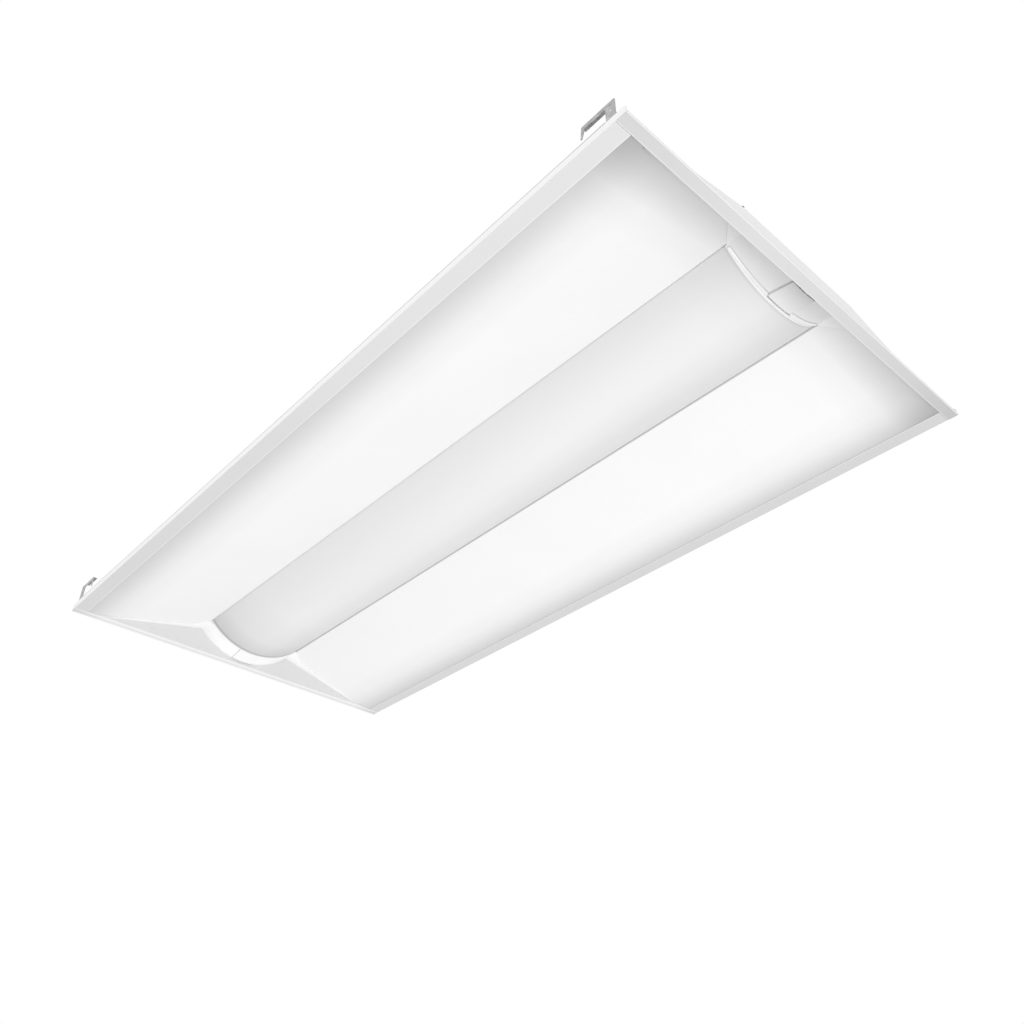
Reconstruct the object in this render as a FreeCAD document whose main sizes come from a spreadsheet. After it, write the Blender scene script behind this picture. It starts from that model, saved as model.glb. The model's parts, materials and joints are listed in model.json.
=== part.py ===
import FreeCAD, Part
import math
import os
import sys

import Sketcher

# Recessed troffer light for a 2 x 4 ft lay-in ceiling, with a centre basket lens.
# Frame: millimetres, origin at the centre of the trim's underside, X along the length,
# +Z up into the ceiling. The feed end is at -X, the left side at +Y.

doc = FreeCAD.newDocument("troffer")
sheet = doc.addObject("Spreadsheet::Sheet", "Dim")

SIZES = {
    # overall and trim
    "length": 1213, "width": 603, "gauge": 0.8, "end_trim": 14.5, "side_trim": 20.5,
    "lip_height": 11, "lip_inset": 1.5, "lip_round": 3, "fit_gap": 0.3,
    # reflector wings
    "bend_inset": 44.5, "bend_radius": 180, "throat_width": 171, "throat_height": 43, "throat_rise": 7.8,
    "seat_reach": 13.4, "upturn_height": 14.7, "upturn_inset": 13.2,
    # end plates and bezels
    "end_shoulder": 11, "end_flange": 8, "band_depth": 36, "band_low": 6.5, "band_rise": 7,
    "knee_depth": 15, "knee_reach": 26.5, "toe_depth": 2, "window_strip": 1.4,
    # back channel and tray
    "wireway": 3.8, "spine_width": 200, "foot_width": 12, "hanger_radius": 3,
    "hanger_inset": 32, "hanger_spacing": 170,
    # lens basket
    "lens_side_gap": 0.6, "lens_low": 7, "lens_wall": 2, "cap_wall": 2, "cap_rise": 2.8,
    "cap_taper": 1.9, "hinge_inset": 2.5, "hinge_rise": 0.6, "hinge_pin": 1.2,
    "hinge_pin_length": 3, "running_gap": 0.06, "bracket_width": 12, "bracket_foot": 9,
    "bracket_eye": 2.2,
    # catch leaf
    "leaf_width": 40, "leaf_side_gap": 0.4, "leaf_wall": 1.2, "leaf_low": 5, "leaf_rise": 5,
    "leaf_flange": 3.2, "leaf_pivot_inset": 3, "leaf_pivot_height": 8, "leaf_pin": 0.8,
    "leaf_ear": 1.5, "ear_wall": 1.2, "leaf_tip_gap": 0.5, "leaf_tip_cut": 1.2,
    "lug_width": 12, "lug_top": 12,
    # grid clips
    "clip_wall": 1, "clip_pivot_inset": 3.3, "clip_pivot_side": 5, "clip_pin": 1.5,
    "clip_knuckle": 2.6, "clip_knuckle_top": 20, "clip_plate": 12, "clip_top": 40,
    "clip_arm": 5.5, "clip_reach": 41.2, "clip_tip": 22.5, "clip_leg": 3.6, "clip_lean": 2,
    "clip_flange": 6, "clip_clear": 3, "clip_weld": 0.4, "clip_foot": 2.8,
    "clip_small_hole": 1.4, "clip_wide_hole": 1.9,
    # light engine
    "board_gap": 8, "board_end_gap": 3.7, "board_width": 24, "board_wall": 1.6,
    "row_spacing": 56, "chip_side": 3, "chip_height": 0.75, "chip_first": 20,
    "chip_count": 24, "screw_edge": 9, "plug_long": 12, "plug_wide": 7,
    "plug_high": 3.8, "lead_hole": 6,
    # driver compartment
    "box_length": 440, "box_width": 125.6, "box_height": 26, "box_far": 20, "lip_drop": 9,
    "knockout": 11.1, "knockout_offset": 25, "knuckle": 2.2, "knuckle_long": 14,
    "knuckle_spacing": 280, "lid_pin": 1.2, "driver_length": 360, "driver_width": 30,
    "driver_height": 21.5, "driver_end_gap": 20, "driver_offset": 25, "ear_long": 12,
    "terminal_long": 14, "bushing_hole": 8, "bushing_wall": 2.4, "bushing_rim": 2,
    "block_long": 32, "block_wide": 18, "block_high": 15,
    # fasteners
    "screw_shank": 1.5, "screw_head": 2.8, "screw_head_height": 1.7, "screw_tail": 2,
    "rivet_shank": 1.6, "rivet_head": 3.2, "rivet_height": 1, "hole_gap": 0.1,
}
for row, (alias, size) in enumerate(SIZES.items(), start=1):
    sheet.set(f"A{row}", alias)
    sheet.set(f"B{row}", str(size))
    sheet.setAlias(f"B{row}", alias)
doc.recompute()

nodes = []

# ---------------------------------------------------------------- named places
HALF_L = "(Dim.length / 2)"
HALF_W = "(Dim.width / 2)"
GAUGE = "Dim.gauge"
WALL_X = f"({HALF_L} - Dim.end_trim)"              # inner face of an end wall
RAIL_Y = f"({HALF_W} - Dim.side_trim)"             # inner edge of a side trim
NEST_Y = f"({HALF_W} - {GAUGE} - Dim.fit_gap)"     # what nests inside the rail lips
BEND_Y = f"({HALF_W} - Dim.bend_inset)"            # middle of a wing's long bend
FOLD = f"({GAUGE} * 0.9)"                          # outer radius of a sharp fold
THROAT_Y = "(Dim.throat_width / 2)"
THROAT_Z = "Dim.throat_height"
WING_X = f"({WALL_X} - Dim.fit_gap)"
SLOPE = f"(({THROAT_Z} - {GAUGE}) / ({BEND_Y} - {THROAT_Y}))"
SLANT = f"sqrt(1 + {SLOPE} ^ 2)"                   # length up a wing for each step across
RISE = f"({GAUGE} * {SLANT})"                      # a sloped sheet's upright thickness
BEND_HALF = f"(Dim.bend_radius * {SLOPE} / (1 + {SLANT}))"
BEND_FOOT = f"({BEND_Y} + {BEND_HALF})"            # where a wing's bend starts, from the flat
BEND_TOP_Y = f"({BEND_Y} - {BEND_HALF} / {SLANT})"
BEND_TOP_Z = f"({GAUGE} + {BEND_HALF} * {SLOPE} / {SLANT})"
SEAT_Z = f"({THROAT_Z} + Dim.throat_rise)"         # top of the wings' inner flanges
SEAT_Y = f"({THROAT_Y} + Dim.seat_reach)"
TRAY_Z = f"({SEAT_Z} + {GAUGE})"
SPINE_Z = f"({TRAY_Z} + Dim.wireway)"              # underside of the back channel's top
BASE_Z = f"({SPINE_Z} + {GAUGE})"                  # where the driver box stands
SPINE_Y = "(Dim.spine_width / 2)"
TRAY_X = f"({WALL_X} - Dim.end_flange - Dim.fit_gap)"
LENS_Y = f"({THROAT_Y} - Dim.lens_side_gap)"
LENS_X = f"({WALL_X} - Dim.band_depth - Dim.fit_gap)"
HINGE_Y = f"({LENS_Y} - Dim.hinge_inset)"
HINGE_Z = f"({THROAT_Z} + Dim.hinge_rise)"
BAND_X = f"({WALL_X} - Dim.band_depth)"
LEAF_Y = "(Dim.leaf_width / 2)"
LEAF_X = f"({WALL_X} - Dim.leaf_pivot_inset)"
LEAF_TIP = f"({BAND_X} + Dim.leaf_tip_gap)"
CLIP_X = f"({WALL_X} - Dim.clip_pivot_inset)"
CLIP_Y = f"({HALF_W} - Dim.clip_pivot_side)"
BOARD_Z = f"({SEAT_Z} - Dim.board_wall)"
BOARD_X = "(Dim.board_gap / 2)"
BOARD_LONG = f"({LENS_X} - Dim.cap_wall - Dim.board_end_gap - {BOARD_X})"
CHIP_PITCH = f"(({BOARD_LONG} - 2 * Dim.chip_first) / (Dim.chip_count - 1))"
ROW_Y = "(Dim.row_spacing / 2)"
BOX_LOW_X = "(Dim.box_far - Dim.box_length)"
BOX_Y = "(Dim.box_width / 2)"
BOX_TOP = f"({BASE_Z} + Dim.box_height)"
FLOOR_Z = f"({BASE_Z} + {GAUGE})"                  # upper face of the box's base
LID_Z = f"({BOX_TOP} + Dim.fit_gap)"
LID_HINGE_Y = f"({BOX_Y} + Dim.fit_gap + Dim.knuckle)"
LID_HINGE_Z = f"({LID_Z} + {GAUGE} / 2)"
DRIVER_X = f"({BOX_LOW_X} + Dim.driver_end_gap)"
DRIVER_Y = "Dim.driver_offset"
KNOCKOUT_Z = f"(({FLOOR_Z} + {BOX_TOP}) / 2)"
SCREW_HOLE = "(Dim.screw_shank + Dim.hole_gap)"
RIVET_HOLE = "(Dim.rivet_shank + Dim.hole_gap)"


def wing_top(across):
    """Height of a wing's upper face at a distance across from the middle."""
    return f"({THROAT_Z} - ({across} - {THROAT_Y}) * {SLOPE} + {RISE})"


def value(expression):
    return float(sheet.evalExpression(expression))


def signed(sign, expression):
    return f"({expression})" if sign > 0 else f"(-({expression}))"


def span(sign, low, high):
    """The stretch from low to high, or its mirror image, as a low and a high end."""
    return (low, high) if sign > 0 else (signed(-1, high), signed(-1, low))


# ---------------------------------------------------------------- building helpers
def new_body(label):
    body = doc.addObject("PartDesign::Body", label)
    body.Label = label
    nodes.append(body)
    return body


PLANES = {"X": ("YZ_Plane", 1), "Y": ("XZ_Plane", -1), "Z": ("XY_Plane", 1)}


def new_sketch(body, axis, place):
    """A sketch square to an axis, at a place along it. Its own directions are Y and Z for X,
    X and Z for Y, and X and Y for Z."""
    role, sign = PLANES[axis]
    plane = [item for item in body.Origin.OriginFeatures if item.Role == role][0]
    sketch = body.newObject("Sketcher::SketchObject", f"{body.Name}_sketch")
    sketch.AttachmentSupport = [(plane, "")]
    sketch.MapMode = "FlatFace"
    offset = signed(sign, place)
    sketch.AttachmentOffset = FreeCAD.Placement(
        FreeCAD.Vector(0, 0, value(offset)), FreeCAD.Rotation())
    sketch.setExpression("AttachmentOffset.Base.z", offset)
    return sketch


def bind(sketch, sizes):
    """Adds sizes to a sketch: each is a kind of constraint, where it acts and an expression."""
    added = sketch.addConstraint([Sketcher.Constraint(*where, value(expression))
                                  for *where, expression in sizes])
    for index, (*_, expression) in zip(added, sizes):
        sketch.setExpression(f"Constraints[{index}]", expression)


def arc_between(start, end, radius, side):
    """An arc of under half a circle; side 1 bulges to the right of the way from start to end."""
    chord = end - start
    middle = (start + end) * 0.5
    left = FreeCAD.Vector(-chord.y, chord.x, 0)
    left.normalize()
    lift = math.sqrt(max(radius ** 2 - (chord.Length / 2) ** 2, 0))
    centre = middle + left * lift * side
    first, last = (start, end) if side > 0 else (end, start)
    angles = [math.atan2(point.y - centre.y, point.x - centre.x) for point in (first, last)]
    if angles[1] < angles[0]:
        angles[1] += 2 * math.pi
    return Part.ArcOfCircle(Part.Circle(centre, FreeCAD.Vector(0, 0, 1), radius), *angles)


def add_outline(sketch, points, arcs=None):
    """A closed outline through points. arcs gives, for an edge's number, a radius and a side."""
    arcs = arcs or {}
    count = len(points)
    corners = [FreeCAD.Vector(value(across), value(up), 0) for across, up in points]
    curves, turned = [], []
    for number, start in enumerate(corners):
        end = corners[(number + 1) % count]
        radius, side = arcs.get(number, (None, 1))
        curves.append(arc_between(start, end, value(radius), side) if radius
                      else Part.LineSegment(start, end))
        turned.append((1, 2) if side > 0 else (2, 1))
    edges = sketch.addGeometry(curves)
    ends = [(edge, *points_used) for edge, points_used in zip(edges, turned)]
    sketch.addConstraint([
        Sketcher.Constraint("Coincident", edge, last, *ends[(number + 1) % count][:2])
        for number, (edge, _, last) in enumerate(ends)])
    sizes = [("Radius", edges[number], radius) for number, (radius, _) in arcs.items()]
    for (edge, first, _), (across, up) in zip(ends, points):
        sizes += [("DistanceX", -1, 1, edge, first, across),
                  ("DistanceY", -1, 1, edge, first, up)]
    bind(sketch, sizes)


def add_circle(sketch, across, up, radius):
    centre = FreeCAD.Vector(value(across), value(up), 0)
    circle = Part.Circle(centre, FreeCAD.Vector(0, 0, 1), value(radius))
    edge = sketch.addGeometry(circle)
    bind(sketch, [("Radius", edge, radius), ("DistanceX", -1, 1, edge, 3, across),
                  ("DistanceY", -1, 1, edge, 3, up)])


def rectangle(low, high):
    """The corners of a rectangle, from two opposite ones."""
    return [low, (high[0], low[1]), high, (low[0], high[1])]


HEX_COUNT = 6            # flats round a fastener's head
SMALL_COUNT = 8          # flats round a fastener's hole
WIDE_COUNT = 12          # flats round a knuckle or a bushing
FULL_COUNT = 16          # flats round a knockout's blank


def flats(across, up, radius, sides=SMALL_COUNT):
    """The corners of a small round outline that is drawn with flats."""
    turns = [f"{360 * step / sides}" for step in range(sides)]
    return [(f"({across} + {radius} * cos({turn}))", f"({up} + {radius} * sin({turn}))")
            for turn in turns]


def sweep(body, kind, axis, low, high, outlines, circles=()):
    """A pad or pocket of outlines and circles, from low to high along an axis."""
    sketch = new_sketch(body, axis, f"(({low}) + ({high})) / 2")
    for outline in outlines:
        add_outline(sketch, *(outline if isinstance(outline, tuple) else (outline,)))
    for circle in circles:
        add_circle(sketch, *circle)
    feature = body.newObject(f"PartDesign::{kind}", f"{body.Name}_{kind.lower()}")
    feature.Profile = sketch
    feature.SideType = "Symmetric"
    feature.setExpression("Length", f"({high}) - ({low})")
    return feature


def pad(body, axis, low, high, outlines=(), circles=()):
    return sweep(body, "Pad", axis, low, high, outlines, circles)


def pocket(body, axis, low, high, outlines=(), circles=()):
    return sweep(body, "Pocket", axis, low, high, outlines, circles)


def drill(body, low, high, outlines):
    """Small holes along Z, from low to high, each a pocket of its own."""
    for outline in outlines:
        pocket(body, "Z", low, high, [outline])


def pattern(body, feature, axis, pitch, count):
    """Copies of a feature in a row along an origin axis, each a solid of its own."""
    line = [item for item in body.Origin.OriginFeatures if item.Role == f"{axis}_Axis"][0]
    row = body.newObject("PartDesign::LinearPattern", f"{body.Name}_row")
    row.Originals = [feature]
    row.Direction = (line, [""])
    row.setExpression("Length", f"({pitch}) * ({count} - 1)")
    row.setExpression("Occurrences", count)
    body.Tip = row
    return row


def place(item, x, y, z):
    for letter, expression in zip("xyz", (x, y, z)):
        item.setExpression(f"Placement.Base.{letter}", expression)


def cylinder(name, radius, height, x, y, z, axis="Z"):
    """A round bar that starts at a point and runs along an axis."""
    bar = doc.addObject("Part::Cylinder", name)
    turns = {"X": (FreeCAD.Vector(0, 1, 0), 90), "Y": (FreeCAD.Vector(1, 0, 0), -90)}
    if axis in turns:
        bar.Placement = FreeCAD.Placement(FreeCAD.Vector(), FreeCAD.Rotation(*turns[axis]))
    bar.setExpression("Radius", radius)
    bar.setExpression("Height", height)
    place(bar, x, y, z)
    return bar


def prism(name, radius, height, x, y, z, sides):
    """An upright bar with flats, for a small fastener."""
    bar = doc.addObject("Part::Prism", name)
    bar.Polygon = sides
    bar.setExpression("Circumradius", radius)
    bar.setExpression("Height", height)
    place(bar, x, y, z)
    return bar


def fuse(name, pieces):
    joined = doc.addObject("Part::MultiFuse", name)
    joined.Shapes = pieces
    return joined


def group(label, pieces):
    """One node that holds several separate solids."""
    compound = doc.addObject("Part::Compound", label)
    compound.Label = label
    compound.Links = pieces
    nodes.append(compound)
    return compound


def stud(name, x, y, seat, head_side, head, head_height, shank, reach, sides=HEX_COUNT):
    """A headed fastener along Z: its head lies on the seat, on head_side, and its shank
    runs the other way for the reach."""
    head_z = seat if head_side > 0 else f"({seat}) - ({head_height})"
    shank_z = f"({seat}) - ({reach})" if head_side > 0 else seat
    return fuse(name, [
        prism(f"{name}_head", head, head_height, x, y, head_z, sides),
        prism(f"{name}_shank", shank, reach, x, y, shank_z, HEX_COUNT),
    ])


# ---------------------------------------------------------------- arc sections
def arc_radius(half, sag):
    return f"((({half}) ^ 2 + ({sag}) ^ 2) / (2 * ({sag})))"


def arc_strip(half, low_edge, low_middle, high_edge, high_middle):
    """An arched strip's section: lower and upper arcs of the same half width."""
    points = [(signed(-1, half), low_edge), (half, low_edge),
              (half, high_edge), (signed(-1, half), high_edge)]
    lower = (arc_radius(half, f"{low_edge} - ({low_middle})"), 1)
    upper = (arc_radius(half, f"{high_edge} - ({high_middle})"), -1)
    return points, {0: lower, 2: upper}


LENS_SAG = f"({THROAT_Z} - Dim.lens_low)"
LENS_R = arc_radius(LENS_Y, LENS_SAG)


# ---------------------------------------------------------------- housing
def side_rail(label, side):
    """Trim flange between the end trims, with an upturned outer lip on its full length."""
    body = new_body(label)
    edge = signed(side, HALF_W)
    flange = [(signed(side, RAIL_Y), "0"), (signed(side, f"{HALF_W} - {FOLD}"), "0"),
              (edge, FOLD), (edge, GAUGE), (signed(side, RAIL_Y), GAUGE)]
    pad(body, "X", signed(-1, WALL_X), WALL_X, [(flange, {1: (FOLD, side)})])
    low, high = span(side, f"{HALF_W} - {GAUGE}", HALF_W)
    tip = f"({HALF_L} - Dim.lip_inset)"
    shoulder = f"({tip} - Dim.lip_round)"
    neck = "(Dim.lip_height - Dim.lip_round)"
    outline = [(signed(-1, tip), GAUGE), (tip, GAUGE), (tip, neck), (shoulder, "Dim.lip_height"),
               (signed(-1, shoulder), "Dim.lip_height"), (signed(-1, tip), neck)]
    rounds = {2: ("Dim.lip_round", 1), 4: ("Dim.lip_round", 1)}
    pad(body, "Y", low, high, [(outline, rounds)])


def end_plate(label, end):
    """End trim flange, upright wall and inward top flange, in one folded sheet."""
    body = new_body(label)
    face = signed(end, WALL_X)
    edge = signed(end, HALF_L)
    flange = [(signed(end, f"{WALL_X} + {FOLD}"), "0"), (edge, "0"), (edge, GAUGE),
              (face, GAUGE), (face, FOLD)]
    pad(body, "Y", signed(-1, HALF_W), HALF_W, [(flange, {4: (FOLD, end)})])
    wall = [(signed(-1, NEST_Y), GAUGE), (NEST_Y, GAUGE), (NEST_Y, "Dim.end_shoulder"),
            (SPINE_Y, SPINE_Z), (signed(-1, SPINE_Y), SPINE_Z),
            (signed(-1, NEST_Y), "Dim.end_shoulder")]
    pad(body, "X", *span(end, WALL_X, f"{WALL_X} + {GAUGE}"), [wall])
    top = rectangle((signed(-1, SEAT_Y), f"{SPINE_Z} - {GAUGE}"), (SEAT_Y, SPINE_Z))
    pad(body, "X", *span(end, f"{WALL_X} - Dim.end_flange", f"{WALL_X} + {GAUGE}"), [top])
    holes = [flats(signed(end, RIVET_X), across, RIVET_HOLE) for across in RIVET_YS]
    drill(body, f"{SPINE_Z} - 2 * {GAUGE}", f"{SPINE_Z} + {GAUGE}", holes)


RIVET_X = f"({WALL_X} - Dim.end_flange / 2)"
RIVET_YS = ["0", f"({SEAT_Y} * 0.8)", f"(-{SEAT_Y} * 0.8)"]


def end_band(label, end):
    """Bezel below the wings' ends: an arch that rises inwards, and two tapering strips."""
    body = new_body(label)
    low_edge = f"({THROAT_Z} - {RISE})"
    loft = body.newObject("PartDesign::AdditiveLoft", f"{label}_loft")
    sections = []
    for depth, low in ((WALL_X, "Dim.band_low"), (BAND_X, "(Dim.band_low + Dim.band_rise)")):
        sketch = new_sketch(body, "X", signed(end, depth))
        add_outline(sketch, *arc_strip(THROAT_Y, low_edge, low, THROAT_Z, f"{low} + {GAUGE}"))
        sections.append(sketch)
    loft.Profile = sections[0]
    loft.Sections = [sections[1]]
    loft.Ruled = True
    toe_y = f"({BEND_FOOT} - sqrt(2 * Dim.bend_radius * {GAUGE} - {GAUGE} ^ 2))"
    toe_z = f"({GAUGE} + Dim.bend_radius - sqrt(Dim.bend_radius ^ 2 + 2 * {GAUGE} ^ 2))"
    strip = [(THROAT_Y, low_edge), (THROAT_Y, THROAT_Z), (BEND_TOP_Y, BEND_TOP_Z),
             (toe_y, f"2 * {GAUGE}"), (toe_y, toe_z),
             (f"({BEND_TOP_Y} - {GAUGE} * {SLOPE} / {SLANT})",
              f"({BEND_TOP_Z} - {GAUGE} / {SLANT})")]
    for side in (1, -1):
        bends = {2: ("Dim.bend_radius", side), 4: (f"(Dim.bend_radius + {GAUGE})", -side)}
        outline = [(signed(side, across), up) for across, up in strip]
        pad(body, "X", *span(end, BAND_X, WALL_X), [(outline, bends)])
        knee = (signed(end, f"{WALL_X} - Dim.knee_depth"),
                signed(side, f"{THROAT_Y} + Dim.knee_reach"))
        toe = signed(end, f"{WALL_X} - Dim.toe_depth")
        inner = signed(end, f"{BAND_X} - {GAUGE}")
        taper = [(signed(end, BAND_X), signed(side, THROAT_Y)), knee,
                 (toe, signed(side, toe_y)), (inner, signed(side, toe_y)),
                 (inner, signed(side, THROAT_Y))]
        pocket(body, "Z", "0", f"{THROAT_Z} + {GAUGE}", [taper])
    half = f"({LEAF_Y} + Dim.leaf_side_gap)"
    window_low, window_high = span(end, f"{BAND_X} - {GAUGE}", f"{WALL_X} - Dim.window_strip")
    window = rectangle((window_low, signed(-1, half)), (window_high, half))
    pocket(body, "Z", "0", f"Dim.band_low + 2 * Dim.band_rise", [window])


def reflector(label, side):
    """A white wing: flat margin on the trim, long bend, slope up to the throat, and a flange
    on top."""
    body = new_body(label)
    outline = [
        (NEST_Y, GAUGE), (NEST_Y, f"2 * {GAUGE}"), (BEND_FOOT, f"2 * {GAUGE}"),
        (f"({BEND_TOP_Y} + {GAUGE} * {SLOPE} / {SLANT})", f"({BEND_TOP_Z} + {GAUGE} / {SLANT})"),
        (f"({THROAT_Y} + {GAUGE})", wing_top(f"({THROAT_Y} + {GAUGE})")),
        (f"({THROAT_Y} + {GAUGE})", f"{SEAT_Z} - {GAUGE}"), (SEAT_Y, f"{SEAT_Z} - {GAUGE}"),
        (SEAT_Y, SEAT_Z), (THROAT_Y, SEAT_Z), (THROAT_Y, THROAT_Z),
        (BEND_TOP_Y, BEND_TOP_Z), (BEND_FOOT, GAUGE),
    ]
    outline = [(signed(side, across), up) for across, up in outline]
    bends = {2: (f"(Dim.bend_radius - {GAUGE})", -side), 10: ("Dim.bend_radius", side)}
    pad(body, "X", signed(-1, WING_X), WING_X, [(outline, bends)])
    low, high = span(side, f"{NEST_Y} - {GAUGE}", NEST_Y)
    reach = f"({WALL_X} - Dim.upturn_inset)"
    edge = rectangle((low, GAUGE), (high, "Dim.upturn_height"))
    pad(body, "X", signed(-1, reach), reach, [edge])


def spine_channel():
    """Galvanised back channel over the tray, with feet that lie on the wings."""
    body = new_body("spine_channel")
    inner = f"({SPINE_Y} - {GAUGE})"
    toe = f"({SPINE_Y} + Dim.foot_width)"
    half = [(SPINE_Y, BASE_Z), (SPINE_Y, f"{wing_top(SPINE_Y)} + {RISE}"),
            (toe, f"{wing_top(toe)} + {RISE}"), (toe, wing_top(toe)), (inner, wing_top(inner)),
            (inner, SPINE_Z)]
    outline = half + [(signed(-1, across), up) for across, up in reversed(half)]
    pad(body, "X", signed(-1, WING_X), WING_X, [outline])
    small = [flats(signed(end, RIVET_X), across, RIVET_HOLE)
             for end in (1, -1) for across in RIVET_YS]
    small += [flats(x, y, SCREW_HOLE) for x, y in BOX_SCREWS]
    small.append(flats("0", "0", "Dim.bushing_hole", WIDE_COUNT))
    hangers = [(signed(end, HANGER_X), signed(side, HANGER_Y), "Dim.hanger_radius")
               for end in (1, -1) for side in (1, -1)]
    pocket(body, "Z", f"{SPINE_Z} - {GAUGE}", f"{BASE_Z} + {GAUGE}", circles=hangers)
    drill(body, f"{SPINE_Z} - {GAUGE}", f"{BASE_Z} + {GAUGE}", small)


HANGER_X = f"({WALL_X} - Dim.hanger_inset)"
HANGER_Y = "(Dim.hanger_spacing / 2)"
BOX_MIDDLE = "(Dim.box_far - Dim.box_length / 2)"
BOX_SCREWS = [(f"({BOX_MIDDLE} + {end} * Dim.box_length * 0.4)", f"({side} * {BOX_Y} * 0.8)")
              for end in (1, -1) for side in (1, -1)]


# ---------------------------------------------------------------- light engine
def screw_xs(end):
    """Places of a board's screws along X: near its ends and at its middle."""
    inner = f"({BOARD_X} + Dim.screw_edge)"
    outer = f"({BOARD_X} + {BOARD_LONG} - Dim.screw_edge)"
    middle = (f"({BOARD_X} + Dim.chip_first"
              f" + (floor(Dim.chip_count / 2) - 0.5) * {CHIP_PITCH})")
    return [signed(end, x) for x in (inner, middle, outer)]


BOARDS = {1: (-1, 1), 2: (1, 1), 3: (-1, -1), 4: (1, -1)}   # number: end and side
BOARD_SCREWS = [(x, signed(side, ROW_Y)) for end, side in BOARDS.values()
                for x in screw_xs(end)]


def led_tray():
    """White tray that carries the boards, on the wings' inner flanges."""
    body = new_body("led_tray")
    inner = f"({SEAT_Y} - {GAUGE})"
    outline = [(signed(-1, SEAT_Y), SEAT_Z), (SEAT_Y, SEAT_Z), (SEAT_Y, SPINE_Z),
               (inner, SPINE_Z), (inner, TRAY_Z), (signed(-1, inner), TRAY_Z),
               (signed(-1, inner), SPINE_Z), (signed(-1, SEAT_Y), SPINE_Z)]
    pad(body, "X", signed(-1, TRAY_X), TRAY_X, [outline])
    holes = [flats(x, y, SCREW_HOLE) for x, y in BOARD_SCREWS]
    holes.append(flats("0", "0", "Dim.lead_hole", WIDE_COUNT))
    drill(body, f"{SEAT_Z} - {GAUGE}", f"{TRAY_Z} + {GAUGE}", holes)


def led_board(number, end, side):
    body = new_body(f"led_board_{number}")
    low, high = span(end, BOARD_X, f"{BOARD_X} + {BOARD_LONG}")
    middle = signed(side, ROW_Y)
    outline = rectangle((low, f"{middle} - Dim.board_width / 2"),
                        (high, f"{middle} + Dim.board_width / 2"))
    holes = [flats(x, middle, SCREW_HOLE) for x in screw_xs(end)]
    pad(body, "Z", BOARD_Z, SEAT_Z, [outline])
    drill(body, f"{BOARD_Z} - {GAUGE}", f"{SEAT_Z} + {GAUGE}", holes)


def led_chips(number, end, side):
    """The board's row of light emitting packages, on its underside."""
    body = new_body(f"led_chips_{number}")
    last = f"({BOARD_X} + {BOARD_LONG} - Dim.chip_first)"
    x = f"({BOARD_X} + Dim.chip_first)" if end > 0 else signed(-1, last)
    middle = signed(side, ROW_Y)
    outline = rectangle((f"{x} - Dim.chip_side / 2", f"{middle} - Dim.chip_side / 2"),
                        (f"{x} + Dim.chip_side / 2", f"{middle} + Dim.chip_side / 2"))
    chip = pad(body, "Z", f"{BOARD_Z} - Dim.chip_height", BOARD_Z, [outline])
    pattern(body, chip, "X", CHIP_PITCH, "Dim.chip_count")


def board_connectors():
    """A plug at the inner end of each board."""
    plugs = []
    for number, (end, side) in BOARDS.items():
        plug = doc.addObject("Part::Box", f"plug_{number}")
        plug.setExpression("Length", "Dim.plug_long")
        plug.setExpression("Width", "Dim.plug_wide")
        plug.setExpression("Height", "Dim.plug_high")
        edge = f"({ROW_Y} + Dim.board_width / 2)"
        x = span(end, BOARD_X, f"{BOARD_X} + Dim.plug_long")[0]
        y = span(side, f"{edge} - Dim.plug_wide", edge)[0]
        place(plug, x, y, f"{BOARD_Z} - Dim.plug_high")
        plugs.append(plug)
    group("board_connectors", plugs)


def board_screws():
    reach = f"(Dim.board_wall + {GAUGE} + Dim.screw_tail)"
    group("board_screws", [
        stud(f"board_screw_{number}", x, y, BOARD_Z, -1, "Dim.screw_head",
             "Dim.screw_head_height", "Dim.screw_shank", reach)
        for number, (x, y) in enumerate(BOARD_SCREWS)])


# ---------------------------------------------------------------- lens basket
def lens():
    """Arched diffuser between its two end caps."""
    body = new_body("lens")
    inner_r = f"({LENS_R} - Dim.lens_wall)"
    inner_y = f"sqrt({inner_r} ^ 2 - ({LENS_R} - {LENS_SAG}) ^ 2)"
    outline = [(signed(-1, LENS_Y), THROAT_Z), (LENS_Y, THROAT_Z), (inner_y, THROAT_Z),
               (signed(-1, inner_y), THROAT_Z)]
    reach = f"({LENS_X} - Dim.cap_wall)"
    pad(body, "X", signed(-1, reach), reach, [(outline, {0: (LENS_R, 1), 2: (inner_r, -1)})])


def lens_cap(label, end):
    """Half-moon end of the basket, with a hole for its hinge pin on the right."""
    body = new_body(label)
    shoulder = f"({LENS_Y} - Dim.cap_taper)"
    top = f"({THROAT_Z} + Dim.cap_rise)"
    outline = [(signed(-1, LENS_Y), THROAT_Z), (LENS_Y, THROAT_Z), (shoulder, top),
               (signed(-1, shoulder), top)]
    pad(body, "X", *span(end, f"{LENS_X} - Dim.cap_wall", LENS_X),
        [(outline, {0: (LENS_R, 1)})], [(signed(-1, HINGE_Y), HINGE_Z, "Dim.hinge_pin")])


def hinge_pins():
    """The pins pressed into the basket's end caps, on which it swings."""
    long = "(Dim.cap_wall + Dim.hinge_pin_length)"
    inner = f"({LENS_X} - Dim.cap_wall)"
    group("hinge_pins", [
        cylinder(f"hinge_pin_{end + 1}", "Dim.hinge_pin", long,
                 span(end, inner, f"{inner} + {long}")[0], signed(-1, HINGE_Y), HINGE_Z, "X")
        for end in (-1, 1)])


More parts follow.
